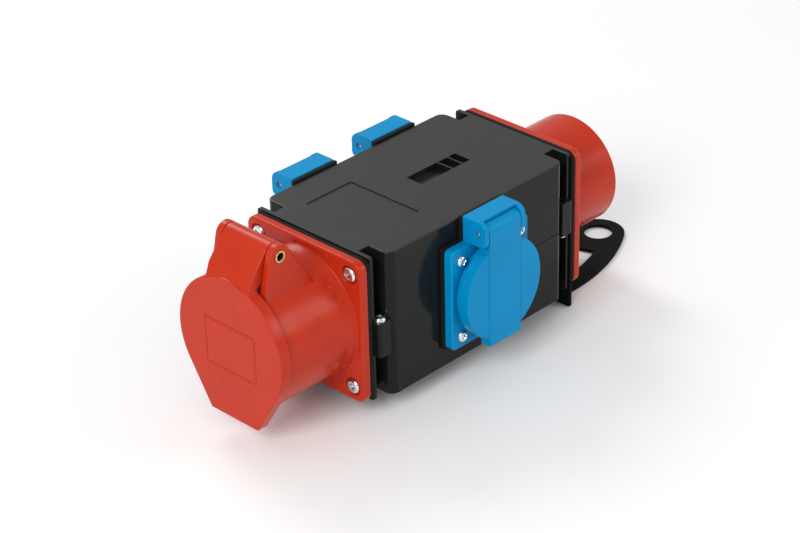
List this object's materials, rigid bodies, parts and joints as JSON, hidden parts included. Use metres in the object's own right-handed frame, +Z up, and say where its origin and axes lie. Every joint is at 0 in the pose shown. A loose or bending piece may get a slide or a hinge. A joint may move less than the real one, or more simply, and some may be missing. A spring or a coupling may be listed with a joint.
{
  "type": "portable power distribution box",
  "caption": "Black two-part box with a red lidded five-pole outlet, a red shrouded inlet, blue lidded sockets on both sides and a flat steel hanger.",
  "frame": {"origin": "middle of the box's base plane", "axes": "+X from the lidded outlet to the inlet and its hanger, +Y towards the side with two sockets, +Z up"},
  "size_m": [0.2569, 0.1072, 0.096],
  "materials": {
    "black_shell": "glossy moulded sides, satin top",
    "red_plastic": "satin moulded signal red",
    "red_insert": "fine matt moulded insert",
    "blue_plastic": "satin moulded light blue",
    "blue_insert": "fine matt moulded insert",
    "black_rubber": "matt moulded rubber",
    "coated_steel": "matt black powder coat",
    "plated_steel": "bright zinc plate",
    "plated_brass": "nickel-plated brass",
    "brass_tube": "turned brass",
    "spring_steel": "drawn spring wire",
    "earth_cover": "green and yellow cover",
    "brown_cover": "wire cover",
    "black_cover": "wire cover",
    "grey_cover": "wire cover",
    "blue_cover": "wire cover"
  },
  "bodies": {
    "box_body": {"earth_wire": "earth_cover", "front_socket_contact_sleeves": "plated_brass", "front_socket_earth_clip": "plated_brass", "front_socket_gasket": "black_rubber", "front_socket_housing": "blue_plastic", "front_socket_insert": "blue_insert", "front_socket_lid_pin": "spring_steel", "front_socket_lid_spring": "spring_steel", "front_socket_screws": "plated_steel", "front_socket_wires": "brown_cover", "hanger_bracket": "coated_steel", "inlet_gasket": "black_rubber", "inlet_housing": "red_plastic", "inlet_pin_carrier": "red_insert", "inlet_pins": "plated_brass", "inlet_screws": "plated_steel", "line_one_wire": "brown_cover", "line_three_wire": "grey_cover", "line_two_wire": "black_cover", "lower_shell": "black_shell", "neutral_wire": "blue_cover", "outlet_contact_carrier": "red_insert", "outlet_contact_sleeves": "plated_brass", "outlet_gasket": "black_rubber", "outlet_housing": "red_plastic", "outlet_lid_pin": "brass_tube", "outlet_lid_spring": "spring_steel", "outlet_screws": "plated_steel", "rear_left_socket_contact_sleeves": "plated_brass", "rear_left_socket_earth_clip": "plated_brass", "rear_left_socket_gasket": "black_rubber", "rear_left_socket_housing": "blue_plastic", "rear_left_socket_insert": "blue_insert", "rear_left_socket_lid_pin": "spring_steel", "rear_left_socket_lid_spring": "spring_steel", "rear_left_socket_screws": "plated_steel", "rear_left_socket_wires": "brown_cover", "rear_right_socket_contact_sleeves": "plated_brass", "rear_right_socket_earth_clip": "plated_brass", "rear_right_socket_gasket": "black_rubber", "rear_right_socket_housing": "blue_plastic", "rear_right_socket_insert": "blue_insert", "rear_right_socket_lid_pin": "spring_steel", "rear_right_socket_lid_spring": "spring_steel", "rear_right_socket_screws": "plated_steel", "rear_right_socket_wires": "brown_cover", "shell_screws": "plated_steel", "upper_shell": "black_shell"},
    "outlet_lid_body": {"outlet_lid": "red_plastic", "outlet_lid_seal": "black_rubber"},
    "front_socket_lid_body": {"front_socket_lid": "blue_plastic", "front_socket_lid_seal": "black_rubber"},
    "rear_left_socket_lid_body": {"rear_left_socket_lid": "blue_plastic", "rear_left_socket_lid_seal": "black_rubber"},
    "rear_right_socket_lid_body": {"rear_right_socket_lid": "blue_plastic", "rear_right_socket_lid_seal": "black_rubber"}
  },
  "joints": [
    {"name": "outlet_lid_hinge", "type": "hinge", "parent": "box_body", "child": "outlet_lid_body", "pos_m": [-0.1, 0, 0.08095], "axis": [0, 1, 0], "range_deg": [0, 120], "stiffness_Nm_per_rad": 0.03, "springref_deg": -57.3},
    {"name": "front_socket_lid_hinge", "type": "hinge", "parent": "box_body", "child": "front_socket_lid_body", "pos_m": [0, -0.049, 0.06675], "axis": [-1, 0, 0], "range_deg": [0, 105], "stiffness_Nm_per_rad": 0.01, "springref_deg": -57.3},
    {"name": "rear_left_socket_lid_hinge", "type": "hinge", "parent": "box_body", "child": "rear_left_socket_lid_body", "pos_m": [-0.0255, 0.049, 0.06675], "axis": [1, 0, 0], "range_deg": [0, 105], "stiffness_Nm_per_rad": 0.01, "springref_deg": -57.3},
    {"name": "rear_right_socket_lid_hinge", "type": "hinge", "parent": "box_body", "child": "rear_right_socket_lid_body", "pos_m": [0.0255, 0.049, 0.06675], "axis": [1, 0, 0], "range_deg": [0, 105], "stiffness_Nm_per_rad": 0.01, "springref_deg": -57.3}
  ]
}
